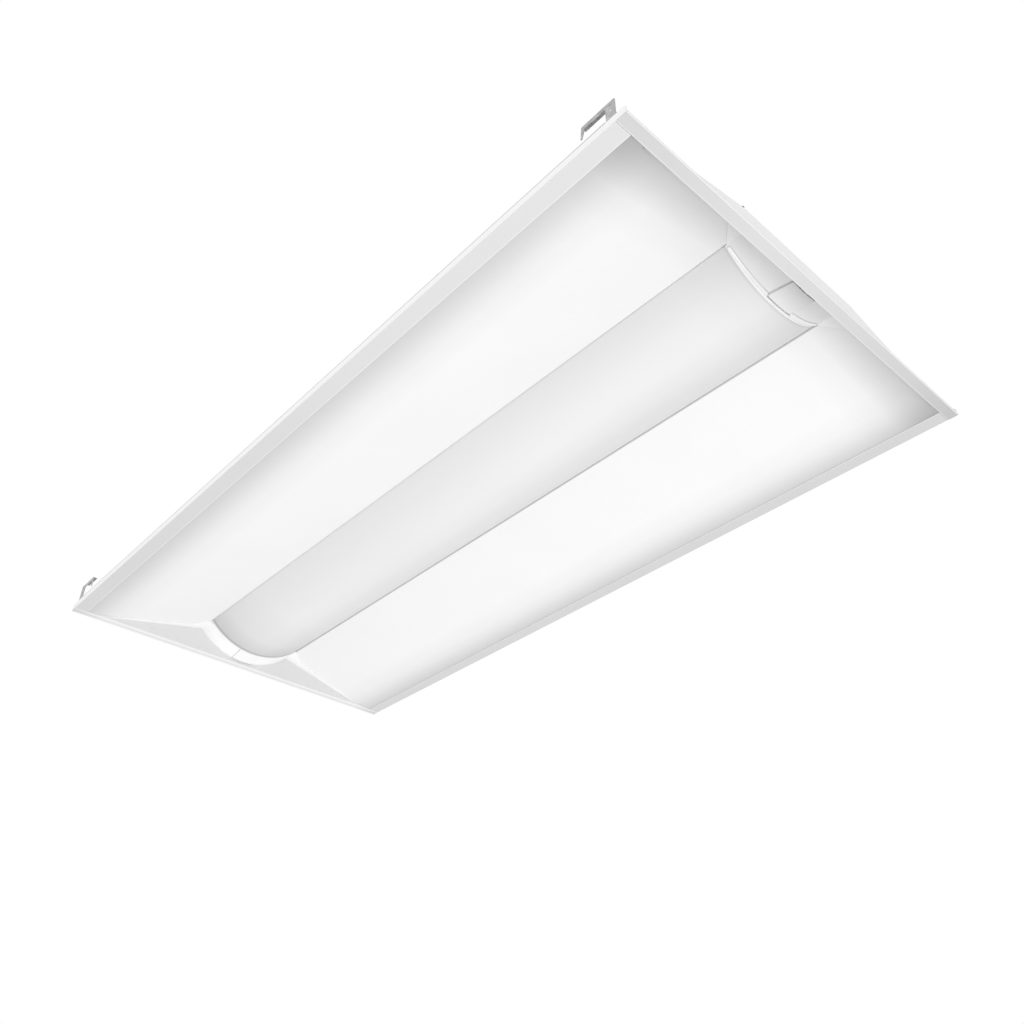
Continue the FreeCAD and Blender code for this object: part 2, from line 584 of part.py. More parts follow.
def lens_bracket(label, end):
    """Angle under the tray that holds a hinge pin of the basket."""
    body = new_body(label)
    face = f"({LENS_X} + 2 * Dim.fit_gap)"
    leaf = span(end, face, f"{face} + {GAUGE}")
    low = f"(-{HINGE_Y} - Dim.bracket_eye)"
    high = f"({low} + Dim.bracket_width)"
    pin = (signed(-1, HINGE_Y), HINGE_Z)
    pad(body, "X", *leaf, [rectangle((low, HINGE_Z), (high, SEAT_Z))])
    pad(body, "X", *leaf, [flats(*pin, "Dim.bracket_eye", WIDE_COUNT)])
    pocket(body, "X", *leaf, circles=[(*pin, "Dim.hinge_pin + Dim.running_gap")])
    foot = rectangle((low, f"{SEAT_Z} - {GAUGE}"), (high, SEAT_Z))
    pad(body, "X", *span(end, face, f"{face} + Dim.bracket_foot"), [foot])


# ---------------------------------------------------------------- catch leaves
def catch_leaf(label, end):
    """Arched leaf at the end of the lens, with side flanges and two pivot ears."""
    body = new_body(label)
    tip_low = "(Dim.leaf_low + Dim.leaf_rise)"
    sag = f"({LEAF_Y} ^ 2 / (2 * {LENS_R}))"
    run = f"({LEAF_X} - {LEAF_TIP})"
    start = "(Dim.leaf_wall / 2)"       # the square cut end stays inside the pivot's line
    low = f"(Dim.leaf_low + Dim.leaf_rise * {start} / {run})"
    tilt = signed(end, f"atan(Dim.leaf_rise / {run})")
    across = signed(end, f"{LEAF_X} - {start}")
    sketch = new_sketch(body, "X", across)
    sketch.AttachmentOffset = FreeCAD.Placement(
        FreeCAD.Vector(0, value(low), value(across)),
        FreeCAD.Rotation(FreeCAD.Vector(1, 0, 0), 1))
    sketch.setExpression("AttachmentOffset.Base.y", low)
    sketch.setExpression("AttachmentOffset.Rotation.Angle", tilt)
    add_outline(sketch, *arc_strip(LEAF_Y, sag, "0", f"({sag} + Dim.leaf_wall)",
                                   "Dim.leaf_wall"))
    strip = body.newObject("PartDesign::Pad", f"{label}_strip")
    strip.Profile = sketch
    strip.Reversed = end > 0
    strip.setExpression("Length", f"sqrt({run} ^ 2 + Dim.leaf_rise ^ 2) * (1 - {start} / {run})")
    base = f"({sag} + Dim.leaf_wall / 2)"
    for side in (1, -1):
        flange = [(signed(end, LEAF_X), f"Dim.leaf_low + {base}"),
                  (signed(end, LEAF_TIP), f"{tip_low} + {base}"),
                  (signed(end, f"{LEAF_TIP} + Dim.leaf_tip_cut"),
                   f"{tip_low} + {base} + Dim.leaf_flange"),
                  (signed(end, LEAF_X), f"Dim.leaf_low + {base} + Dim.leaf_flange / 2")]
        pad(body, "Y", *span(side, f"{LEAF_Y} - {GAUGE}", LEAF_Y), [flange])
        inner = "(Dim.lug_width / 2 + Dim.fit_gap)"
        ear = f"({LEAF_X} - Dim.leaf_ear)"
        stem = rectangle((span(end, ear, LEAF_X)[0], "Dim.leaf_low + Dim.leaf_wall / 2"),
                         (span(end, ear, LEAF_X)[1], "Dim.leaf_pivot_height"))
        ears = span(side, inner, f"{inner} + Dim.ear_wall")
        pad(body, "Y", *ears, [stem])
        pivot = (signed(end, LEAF_X), "Dim.leaf_pivot_height")
        pad(body, "Y", *ears, [flats(*pivot, "Dim.leaf_ear", WIDE_COUNT)])
        pocket(body, "Y", *ears, circles=[(*pivot, "Dim.leaf_pin")])


def catch_lug(label, end):
    """Lug on the end wall that carries a leaf's pin."""
    body = new_body(label)
    low, high = span(end, LEAF_X, WALL_X)
    hole = (signed(end, LEAF_X), "Dim.leaf_pivot_height", "Dim.leaf_pin + Dim.running_gap")
    arm = rectangle((low, "Dim.leaf_pivot_height"), (high, "Dim.lug_top"))
    width = (signed(-1, "Dim.lug_width / 2"), "Dim.lug_width / 2")
    pad(body, "Y", *width, [arm])
    pad(body, "Y", *width, [flats(signed(end, LEAF_X), "Dim.leaf_pivot_height",
                                  "Dim.leaf_ear", WIDE_COUNT)])
    pocket(body, "Y", *width, circles=[hole])


def catch_pin(label, end):
    reach = "(Dim.lug_width / 2 + Dim.fit_gap + Dim.ear_wall)"
    body = new_body(label)
    pad(body, "Y", signed(-1, reach), reach,
        circles=[(signed(end, LEAF_X), "Dim.leaf_pivot_height", "Dim.leaf_pin")])


# ---------------------------------------------------------------- grid clips
def grid_clip(label, end, side):
    """Fold-out clip: plate with two holes, arm along the rail, barbed leg and knuckle."""
    body = new_body(label)

    def at(along):
        """A place along the arm, from the pivot towards the middle of the light."""
        return signed(end, f"({CLIP_X} - ({along}))")

    back = "(-Dim.clip_pivot_inset + Dim.fit_gap)"
    plate = f"({back} + Dim.clip_plate)"
    low = "(Dim.lip_height + Dim.clip_clear)"
    arm = "(Dim.clip_top - Dim.clip_arm)"
    heel = "(Dim.clip_reach - Dim.clip_lean)"
    outline = [
        (at(back), low), (at(plate), low), (at(plate), arm),
        (at(f"{heel} - Dim.clip_leg"), arm),
        (at(f"Dim.clip_reach - Dim.clip_leg / 2"), "Dim.clip_tip"),
        (at("Dim.clip_reach"), "Dim.clip_tip"), (at(heel), "Dim.clip_top"),
        (at(f"{back} + Dim.clip_wall"), "Dim.clip_top"),
        (at(back), "Dim.clip_top - Dim.clip_wall"),
    ]
    middle = f"({back} + Dim.clip_plate / 2)"
    holes = [flats(at(middle), "Dim.clip_top - Dim.clip_arm", "Dim.clip_small_hole"),
             flats(at(middle), "Dim.clip_top - 2.3 * Dim.clip_arm", "Dim.clip_wide_hole")]
    skin = f"({CLIP_Y} + Dim.clip_knuckle - Dim.clip_weld + Dim.clip_wall)"
    pad(body, "Y", *span(side, f"{skin} - Dim.clip_wall", skin), [outline] + holes)
    shelf_low, shelf_high = span(side, f"{skin} - Dim.clip_flange", skin)
    shelf = rectangle((span(end, f"{CLIP_X} - {heel}", f"{CLIP_X} - {plate}")[0], shelf_low),
                      (span(end, f"{CLIP_X} - {heel}", f"{CLIP_X} - {plate}")[1], shelf_high))
    pad(body, "Z", "Dim.clip_top - Dim.clip_wall", "Dim.clip_top", [shelf])
    axis = (signed(end, CLIP_X), signed(side, CLIP_Y))
    pad(body, "Z", f"2 * {GAUGE} + Dim.clip_wall", "Dim.clip_knuckle_top",
        [flats(*axis, "Dim.clip_knuckle", WIDE_COUNT),
         flats(*axis, "(Dim.clip_pin + Dim.running_gap)", WIDE_COUNT)])


def clip_pins():
    """Upright pins that the clips turn on, riveted down on the wings' margins."""
    pins = []
    base = f"2 * {GAUGE}"
    for number, (end, side) in enumerate(((-1, 1), (1, 1), (-1, -1), (1, -1))):
        x = signed(end, CLIP_X)
        y = signed(side, CLIP_Y)
        top = "(Dim.clip_knuckle_top + Dim.fit_gap)"
        pins.append(fuse(f"clip_pin_{number}", [
            prism(f"pin_foot_{number}", "Dim.clip_foot", "Dim.clip_wall * 0.7", x, y, base, HEX_COUNT),
            cylinder(f"pin_shaft_{number}", "Dim.clip_pin", f"{top} - {base}", x, y, base),
            prism(f"pin_head_{number}", "Dim.clip_knuckle - 2 * Dim.fit_gap", "Dim.clip_wall",
                  x, y, top, HEX_COUNT),
        ]))
    group("clip_pins", pins)


# ---------------------------------------------------------------- driver compartment
HINGE_XS = [f"({BOX_MIDDLE} + {side} * Dim.knuckle_spacing / 2)" for side in (-1, 1)]
KNUCKLE_R = "Dim.knuckle"
KNUCKLE_HOLE = "(Dim.lid_pin + Dim.running_gap)"


def knuckle(middle, number):
    """One knuckle of a lid hinge: 0 is the lid's, in the middle, and -1 and 1 the box's."""
    start = f"({middle} + ({number} - 0.5) * Dim.knuckle_long)"
    low = f"{start} + Dim.fit_gap / 2"
    high = f"{start} + Dim.knuckle_long - Dim.fit_gap / 2"
    axis = (signed(-1, LID_HINGE_Y), LID_HINGE_Z)
    return low, high, axis


def driver_box():
    """Open tray on the back channel, with knockouts in its ends and hinge leaves."""
    body = new_body("driver_box")
    low = (BOX_LOW_X, signed(-1, BOX_Y))
    high = ("Dim.box_far", BOX_Y)
    pad(body, "Z", BASE_Z, BOX_TOP, [rectangle(low, high)])
    inside = rectangle((f"{BOX_LOW_X} + {GAUGE}", f"-{BOX_Y} + {GAUGE}"),
                       (f"Dim.box_far - {GAUGE}", f"{BOX_Y} - {GAUGE}"))
    pocket(body, "Z", FLOOR_Z, f"{BOX_TOP} + {GAUGE}", [inside])
    for middle in HINGE_XS:
        for number in (-1, 1):
            start, stop, axis = knuckle(middle, number)
            leaf = rectangle((f"{axis[0]}", f"{BOX_TOP} - 3 * {KNUCKLE_R}"),
                             (signed(-1, f"({BOX_Y})"), LID_HINGE_Z))
            pad(body, "X", start, stop, [leaf])
            pad(body, "X", start, stop, [flats(*axis, KNUCKLE_R, WIDE_COUNT)])
            pocket(body, "X", start, stop, [flats(*axis, KNUCKLE_HOLE, WIDE_COUNT)])
    blanked = [flats(signed(side, "Dim.knockout_offset"), KNOCKOUT_Z, "Dim.knockout", FULL_COUNT)
               for side in (1, -1)]
    supply = (signed(-1, "Dim.knockout_offset"), KNOCKOUT_Z, "Dim.knockout")
    pocket(body, "X", f"{BOX_LOW_X} - {GAUGE}", f"{BOX_LOW_X} + 2 * {GAUGE}", blanked[:1],
           [supply])
    pocket(body, "X", f"Dim.box_far - 2 * {GAUGE}", f"Dim.box_far + {GAUGE}", blanked)
    holes = [flats(x, y, SCREW_HOLE) for x, y in BOX_SCREWS + DRIVER_SCREWS + [GROUND]]
    holes.append(flats("0", "0", "Dim.bushing_hole", WIDE_COUNT))
    drill(body, f"{BASE_Z} - {GAUGE}", f"{FLOOR_Z} + {GAUGE}", holes)


def driver_lid():
    """Lid with a deep lip at its front and short ones at its ends, above the knockouts,
    hinged along the box's right side."""
    body = new_body("driver_lid")
    outer = f"({BOX_Y} + Dim.fit_gap + {GAUGE})"
    low_x = f"({BOX_LOW_X} - Dim.fit_gap - {GAUGE})"
    high_x = f"(Dim.box_far + Dim.fit_gap + {GAUGE})"
    back = f"(-{BOX_Y} + {GAUGE})"
    top = f"({LID_Z} + {GAUGE})"
    lip = f"({top} - Dim.lip_drop)"
    pad(body, "Z", LID_Z, top, [rectangle((low_x, back), (high_x, outer))])
    pad(body, "Z", lip, top, [rectangle((low_x, f"{outer} - {GAUGE}"), (high_x, outer))])
    end_lip = f"({KNOCKOUT_Z} + Dim.knockout + Dim.fit_gap)"
    for start in (low_x, f"({high_x} - {GAUGE})"):
        pad(body, "Z", end_lip, top, [rectangle((start, back), (f"{start} + {GAUGE}", outer))])
    for middle in HINGE_XS:
        start, stop, axis = knuckle(middle, 0)
        tongue = rectangle((axis[0], LID_Z), (f"{back} + {GAUGE}", top))
        pad(body, "X", start, stop, [tongue])
        pad(body, "X", start, stop, [flats(*axis, KNUCKLE_R, WIDE_COUNT)])
        pocket(body, "X", start, stop, [flats(*axis, KNUCKLE_HOLE, WIDE_COUNT)])


def lid_pins():
    long = "(3 * Dim.knuckle_long)"
    group("lid_pins", [
        cylinder(f"lid_pin_{number}", "Dim.lid_pin", long, f"{middle} - {long} / 2",
                 signed(-1, LID_HINGE_Y), LID_HINGE_Z, "X")
        for number, middle in enumerate(HINGE_XS)])


DRIVER_SCREWS = [
    (f"({DRIVER_X} - Dim.ear_long / 2)", DRIVER_Y),
    (f"({DRIVER_X} + Dim.driver_length + Dim.ear_long / 2)", DRIVER_Y),
]
GROUND = (f"({BOX_LOW_X} + Dim.driver_end_gap)", f"(-{BOX_Y} * 0.75)")


def driver_case():
    """Sheet metal can of the driver, with a fixing ear at each end."""
    body = new_body("driver_case")
    far = f"({DRIVER_X} + Dim.driver_length)"
    half = "(Dim.driver_width / 2)"
    foot = rectangle((f"{DRIVER_X} - Dim.ear_long", f"{DRIVER_Y} - {half}"),
                     (f"{far} + Dim.ear_long", f"{DRIVER_Y} + {half}"))
    holes = [flats(x, y, SCREW_HOLE) for x, y in DRIVER_SCREWS]
    pad(body, "Z", FLOOR_Z, f"{FLOOR_Z} + {GAUGE}", [foot] + holes)
    can = rectangle((DRIVER_X, f"{DRIVER_Y} - {half}"), (far, f"{DRIVER_Y} + {half}"))
    pad(body, "Z", FLOOR_Z, f"{FLOOR_Z} + Dim.driver_height", [can])
    low = rectangle((f"{DRIVER_X} - {GAUGE}", f"{DRIVER_Y} - {half} * 0.7"),
                    (f"{DRIVER_X} + Dim.terminal_long", f"{DRIVER_Y} + {half} * 0.7"))
    high = rectangle((f"{far} - Dim.terminal_long", f"{DRIVER_Y} - {half} * 0.7"),
                     (f"{far} + {GAUGE}", f"{DRIVER_Y} + {half} * 0.7"))
    seat = f"({FLOOR_Z} + Dim.driver_height / 2)"
    pocket(body, "Z", seat, f"{FLOOR_Z} + Dim.driver_height + {GAUGE}", [low, high])


def driver_terminals():
    """Push-in terminals in the two ends of the driver."""
    blocks = []
    far = f"({DRIVER_X} + Dim.driver_length)"
    for number, x in enumerate((DRIVER_X, f"{far} - Dim.terminal_long + Dim.fit_gap")):
        block = doc.addObject("Part::Box", f"terminal_{number}")
        block.setExpression("Length", "Dim.terminal_long - Dim.fit_gap")
        block.setExpression("Width", "Dim.driver_width * 0.7 - 2 * Dim.fit_gap")
        block.setExpression("Height", "Dim.driver_height / 2 - Dim.fit_gap")
        place(block, x, f"{DRIVER_Y} - Dim.driver_width * 0.35 + Dim.fit_gap",
              f"{FLOOR_Z} + Dim.driver_height / 2")
        blocks.append(block)
    group("driver_terminals", blocks)


def box_fasteners():
    """Screws of the driver and of its box, and the earth screw."""
    size = ("Dim.screw_head", "Dim.screw_head_height", "Dim.screw_shank")
    group("driver_screws", [
        stud(f"driver_screw_{number}", x, y, f"{FLOOR_Z} + {GAUGE}", 1, *size, f"2 * {GAUGE}")
        for number, (x, y) in enumerate(DRIVER_SCREWS)])
    group("box_screws", [
        stud(f"box_screw_{number}", x, y, FLOOR_Z, 1, *size, f"2 * {GAUGE} + Dim.screw_tail")
        for number, (x, y) in enumerate(BOX_SCREWS)])
    group("ground_screw", [
        stud("earth", *GROUND, FLOOR_Z, 1, "Dim.screw_head * 1.3", "Dim.screw_head_height",
             "Dim.screw_shank", GAUGE)])


def spine_rivets():
    group("spine_rivets", [
        fuse(f"rivet_{end + 1}_{number}", [
            stud(f"rivet_top_{end + 1}_{number}", signed(end, RIVET_X), y, BASE_Z, 1,
                 "Dim.rivet_head", "Dim.rivet_height", "Dim.rivet_shank", f"2 * {GAUGE}"),
            prism(f"rivet_tail_{end + 1}_{number}", "Dim.rivet_head * 0.75", "Dim.rivet_height",
                  signed(end, RIVET_X), y, f"{SPINE_Z} - {GAUGE} - Dim.rivet_height", HEX_COUNT),
        ])
        for end in (-1, 1) for number, y in enumerate(RIVET_YS)])


def lead_bushing():
    """Plastic bushing through the box's base and the back channel, for the leads."""
    body = new_body("lead_bushing")
    outer = "(Dim.bushing_hole - Dim.hole_gap)"
    bore = f"({outer} - Dim.bushing_wall)"
    rim = "(Dim.bushing_hole + Dim.bushing_rim)"
    for low, high, radius in (
            (SPINE_Z, FLOOR_Z, outer), (FLOOR_Z, f"{FLOOR_Z} + Dim.bushing_wall / 2", rim),
            (f"{SPINE_Z} - Dim.bushing_wall / 2", SPINE_Z, f"({outer} + Dim.bushing_rim / 2)")):
        pad(body, "Z", low, high, [flats("0", "0", radius, WIDE_COUNT), flats("0", "0", bore, WIDE_COUNT)])


def terminal_block():
    """Supply disconnect that lies on the box's base, with a waist between its halves."""
    body = new_body("terminal_block")
    x = f"({BOX_LOW_X} + 3 * Dim.driver_end_gap)"
    low = (x, "(-Dim.driver_offset - Dim.block_wide / 2)")
    high = (f"{x} + Dim.block_long", "(-Dim.driver_offset + Dim.block_wide / 2)")
    pad(body, "Z", FLOOR_Z, f"{FLOOR_Z} + Dim.block_high", [rectangle(low, high)])
    middle = f"({x} + Dim.block_long / 2)"
    groove = rectangle((f"{middle} - {GAUGE}", f"{FLOOR_Z} + Dim.block_high - {GAUGE}"),
                       (f"{middle} + {GAUGE}", f"{FLOOR_Z} + Dim.block_high + {GAUGE}"))
    pocket(body, "Y", low[1], high[1], [groove])


def knockout_blanks():
    """Discs left in the three knockouts that aren't used."""
    body = new_body("knockout_blanks")
    discs = [flats(signed(side, "Dim.knockout_offset"), KNOCKOUT_Z,
                   "(Dim.knockout - Dim.hole_gap)", FULL_COUNT) for side in (1, -1)]
    pad(body, "X", BOX_LOW_X, f"{BOX_LOW_X} + {GAUGE}", discs[:1])
    pad(body, "X", f"Dim.box_far - {GAUGE}", "Dim.box_far", discs)


side_rail("side_rail_left", 1)
side_rail("side_rail_right", -1)
reflector("reflector_left", 1)
reflector("reflector_right", -1)
for end_name, end_sign in (("feed", -1), ("far", 1)):
    end_plate(f"end_plate_{end_name}", end_sign)
    end_band(f"end_band_{end_name}", end_sign)
    lens_cap(f"lens_cap_{end_name}", end_sign)
    lens_bracket(f"lens_bracket_{end_name}", end_sign)
    catch_leaf(f"catch_leaf_{end_name}", end_sign)
    catch_lug(f"catch_lug_{end_name}", end_sign)
    catch_pin(f"catch_pin_{end_name}", end_sign)
    for side_name, side_sign in (("left", 1), ("right", -1)):
        grid_clip(f"grid_clip_{end_name}_{side_name}", end_sign, side_sign)
spine_channel()
led_tray()
for board_number, (board_end, board_side) in BOARDS.items():
    led_board(board_number, board_end, board_side)
    led_chips(board_number, board_end, board_side)
board_connectors()
board_screws()
lens()
hinge_pins()
clip_pins()
driver_box()
driver_lid()
lid_pins()
driver_case()
driver_terminals()
box_fasteners()
spine_rivets()
lead_bushing()
terminal_block()
knockout_blanks()

# ---------------------------------------------------------------- check and write
doc.recompute()
faults = [item.Name for item in doc.Objects
          if "Invalid" in item.State or "Error" in item.State]
faults += [f"{node.Label} shape" for node in nodes
           if node.Shape.isNull() or not node.Shape.isValid()]
if faults:
    sys.exit("failed: " + ", ".join(faults))
os.makedirs("parts", exist_ok=True)
for node in nodes:
    node.Shape.exportStep(f"parts/{node.Label}.step")
    print(f"{node.Label}: {len(node.Shape.Solids)} solids, {node.Shape.Volume:.0f} mm3")
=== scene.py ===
import json
import math

import bmesh
import bpy
from mathutils import Matrix, Vector


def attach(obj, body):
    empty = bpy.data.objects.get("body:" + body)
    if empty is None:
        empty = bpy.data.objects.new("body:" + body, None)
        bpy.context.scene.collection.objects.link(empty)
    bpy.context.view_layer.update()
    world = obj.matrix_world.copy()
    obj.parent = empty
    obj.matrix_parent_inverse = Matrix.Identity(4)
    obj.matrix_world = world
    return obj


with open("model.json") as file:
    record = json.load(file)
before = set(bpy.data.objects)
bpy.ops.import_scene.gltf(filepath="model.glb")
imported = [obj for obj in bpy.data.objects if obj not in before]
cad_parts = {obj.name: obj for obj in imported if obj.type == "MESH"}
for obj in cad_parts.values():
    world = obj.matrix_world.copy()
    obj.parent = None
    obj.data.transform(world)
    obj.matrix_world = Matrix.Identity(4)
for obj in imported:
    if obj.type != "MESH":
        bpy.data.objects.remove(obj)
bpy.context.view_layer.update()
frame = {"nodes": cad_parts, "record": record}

# Looks of a recessed troffer light, seen from below. Metres, in the part's own frame:
# X along the length, the feed end at -X, the left side at +Y, +Z up into the ceiling.

MM = 0.001
NODES = frame["nodes"]

# The photograph's camera, solved from the trim's corners: metres, degrees, millimetres.
CAMERA_PLACE = (-0.9104, 0.7171, -0.7969)
YAW_PITCH_ROLL = (-42.422, 35.450, 0.136)
FOCAL_LENGTH = 34.60
SENSOR_WIDTH = 36

# The light: the surroundings' strength and the first three lamps' powers were fitted to the
# photograph's brightness and then changed.
SEEN_STRENGTH = 1.0
LIT_STRENGTH = 0.824
LAMPS = (  # name, place, target, size in metres, power in watts
    ("below", (0, 0, -2.2), (0, 0, 0), (3.0, 3.0), 26.9),
    ("beyond_feed_end", (-2.8, 0, -0.7), (0, 0, 0), (2.0, 1.2), 8.5),
    ("beside_camera", (-1.6, 1.3, -1.4), (0, 0, 0), (1.0, 1.0), 3.5),
    ("beside_left", (0, 2.6, 0.19), (0, 0, 0.02), (3.0, 0.3), 15.0),
)
FLOOR_HALF = 6
FLOOR_HEIGHT = -2.4


# ---------------------------------------------------------------- camera, floor and light
def camera():
    """The photograph's view: from below, beyond the near left corner, looking up."""
    data = bpy.data.cameras.new("view_camera")
    data.sensor_width = SENSOR_WIDTH
    data.lens = FOCAL_LENGTH
    data.clip_start = 0.01
    eye = bpy.data.objects.new("view_camera", data)
    bpy.context.scene.collection.objects.link(eye)
    yaw, pitch, roll = (math.radians(angle) for angle in YAW_PITCH_ROLL)
    forward = Vector((math.cos(pitch) * math.cos(yaw), math.cos(pitch) * math.sin(yaw),
                      math.sin(pitch)))
    level = forward.cross(Vector((0, 0, 1))).normalized()
    upright = level.cross(forward)
    right = math.cos(roll) * level + math.sin(roll) * upright
    above = -math.sin(roll) * level + math.cos(roll) * upright
    place = Matrix((right, above, -forward)).transposed().to_4x4()
    place.translation = Vector(CAMERA_PLACE)
    eye.matrix_world = place
    bpy.context.scene.camera = eye


def area_light(name, place, target, size, power):
    data = bpy.data.lights.new(name, "AREA")
    data.shape = "RECTANGLE"
    data.size, data.size_y = size
    data.energy = power
    lamp = bpy.data.objects.new(name, data)
    bpy.context.scene.collection.objects.link(lamp)
    lamp.location = place
    aim = Vector(target) - Vector(place)
    lamp.rotation_euler = aim.to_track_quat("-Z", "Y").to_euler()


def studio():
    """White surroundings that light the underside evenly, and a few large soft lamps."""
    world = bpy.data.worlds.new("studio")
    bpy.context.scene.world = world
    world.use_nodes = True
    nodes, links = world.node_tree.nodes, world.node_tree.links
    nodes.clear()
    seen = nodes.new("ShaderNodeBackground")
    seen.inputs["Strength"].default_value = SEEN_STRENGTH
    lit = nodes.new("ShaderNodeBackground")
    lit.inputs["Strength"].default_value = LIT_STRENGTH
    for background in (seen, lit):
        background.inputs["Color"].default_value = (1, 1, 1, 1)
    path = nodes.new("ShaderNodeLightPath")
    mix = nodes.new("ShaderNodeMixShader")
    output = nodes.new("ShaderNodeOutputWorld")
    links.new(path.outputs["Is Camera Ray"], mix.inputs["Fac"])
    links.new(lit.outputs[0], mix.inputs[1])
    links.new(seen.outputs[0], mix.inputs[2])
    links.new(mix.outputs[0], output.inputs["Surface"])
    for lamp in LAMPS:
        area_light(*lamp)


def floor():
    mesh = bpy.data.meshes.new("floor")
    corners = [(-FLOOR_HALF, -FLOOR_HALF, FLOOR_HEIGHT), (FLOOR_HALF, -FLOOR_HALF, FLOOR_HEIGHT),
               (FLOOR_HALF, FLOOR_HALF, FLOOR_HEIGHT), (-FLOOR_HALF, FLOOR_HALF, FLOOR_HEIGHT)]
    mesh.from_pydata(corners, [], [(0, 1, 2, 3)])
    plane = bpy.data.objects.new("floor", mesh)
    bpy.context.scene.collection.objects.link(plane)
    material, _, shader = new_material("pale_floor")
    shader.inputs["Base Color"].default_value = (0.8, 0.8, 0.8, 1)
    shader.inputs["Roughness"].default_value = 0.9
    mesh.materials.append(material)


# ---------------------------------------------------------------- node helpers
MIX_FIRST, MIX_SECOND, MIX_RESULT = 6, 7, 2     # the Mix node's sockets for colours
EDGE_RADIUS = 0.0004
EDGE_SAMPLES = 4


def new_material(name):
    material = bpy.data.materials.new(name)
    material.use_nodes = True
    tree = material.node_tree
    tree.nodes.clear()
    shader = tree.nodes.new("ShaderNodeBsdfPrincipled")
    output = tree.nodes.new("ShaderNodeOutputMaterial")
    tree.links.new(shader.outputs["BSDF"], output.inputs["Surface"])
    return material, tree, shader


def coordinates(tree, stretch=(1, 1, 1)):
    """Places on the object in metres, stretched along each axis."""
    source = tree.nodes.new("ShaderNodeTexCoord")
    mapping = tree.nodes.new("ShaderNodeMapping")
    mapping.inputs["Scale"].default_value = stretch
    tree.links.new(source.outputs["Object"], mapping.inputs["Vector"])
    return mapping.outputs["Vector"]


def noise(tree, size, detail=2.0, stretch=(1, 1, 1)):
    """Cloudy noise whose blobs are about size metres across."""
    node = tree.nodes.new("ShaderNodeTexNoise")
    node.inputs["Scale"].default_value = 1 / size
    node.inputs["Detail"].default_value = detail
    tree.links.new(coordinates(tree, stretch), node.inputs["Vector"])
    return node.outputs["Fac"]


def grains(tree, size):
    """A crystal pattern: one random value for each grain of about size metres."""
    node = tree.nodes.new("ShaderNodeTexVoronoi")
    node.inputs["Scale"].default_value = 1 / size
    tree.links.new(coordinates(tree), node.inputs["Vector"])
    parts = tree.nodes.new("ShaderNodeSeparateColor")
    tree.links.new(node.outputs["Color"], parts.inputs["Color"])
    return parts.outputs["Red"]


def grey(value, tint=(1, 1, 1)):
    return tuple(value * part for part in tint)


def plain(tree, tone):
    node = tree.nodes.new("ShaderNodeRGB")
    node.outputs[0].default_value = (*grey(tone), 1)
    return node.outputs[0]


def ramp(tree, factor, *stops):
    """A colour for each value of factor: stops are (value, colour)."""
    node = tree.nodes.new("ShaderNodeValToRGB")
    elements = node.color_ramp.elements
    while len(elements) < len(stops):
        elements.new(0.5)
    for element, (place, colour) in zip(elements, stops):
        element.position = place
        element.color = (*colour, 1)
    tree.links.new(factor, node.inputs["Fac"])
    return node.outputs["Color"]


def spread(tree, factor, low, high):
    """factor from 0 to 1 becomes a value from low to high."""
    node = tree.nodes.new("ShaderNodeMapRange")
    node.inputs["To Min"].default_value = low
    node.inputs["To Max"].default_value = high
    tree.links.new(factor, node.inputs["Value"])
    return node.outputs["Result"]


def blend_colours(tree, factor, first, second, kind="MIX"):
    node = tree.nodes.new("ShaderNodeMix")
    node.data_type = "RGBA"
    node.blend_type = kind
    if isinstance(factor, float):
        node.inputs["Factor"].default_value = factor
    else:
        tree.links.new(factor, node.inputs["Factor"])
    tree.links.new(first, node.inputs[MIX_FIRST])
    tree.links.new(second, node.inputs[MIX_SECOND])
    return node.outputs[MIX_RESULT]


def multiply(tree, first, second):
    return blend_colours(tree, 1.0, first, second, "MULTIPLY")


def bump(tree, shader, height, strength, depth):
    """A fine relief, on edges that catch the light as slightly rounded ones do."""
    edges = tree.nodes.new("ShaderNodeBevel")
    edges.samples = EDGE_SAMPLES
    edges.inputs["Radius"].default_value = EDGE_RADIUS
    node = tree.nodes.new("ShaderNodeBump")
    node.inputs["Strength"].default_value = strength
    node.inputs["Distance"].default_value = depth
    tree.links.new(height, node.inputs["Height"])
    tree.links.new(edges.outputs["Normal"], node.inputs["Normal"])
    tree.links.new(node.outputs["Normal"], shader.inputs["Normal"])


def place_along(tree, axis, mirrored=False):
    """The place on the object along X, Y or Z, or its distance from the middle."""
    source = tree.nodes.new("ShaderNodeTexCoord")
    parts = tree.nodes.new("ShaderNodeSeparateXYZ")
    tree.links.new(source.outputs["Object"], parts.inputs["Vector"])
    if not mirrored:
        return parts.outputs[axis]
    size = tree.nodes.new("ShaderNodeMath")
    size.operation = "ABSOLUTE"
    tree.links.new(parts.outputs[axis], size.inputs[0])
    return size.outputs[0]


def tones(tree, axis, stops, mirrored=False):
    """A grey that changes softly along an axis: stops are (millimetres, tone)."""
    low, high = stops[0][0], stops[-1][0]
    node = tree.nodes.new("ShaderNodeMapRange")
    node.inputs["From Min"].default_value = low * MM
    node.inputs["From Max"].default_value = high * MM
    tree.links.new(place_along(tree, axis, mirrored), node.inputs["Value"])
    return ramp(tree, node.outputs["Result"],
                *[((place - low) / (high - low), grey(tone)) for place, tone in stops])
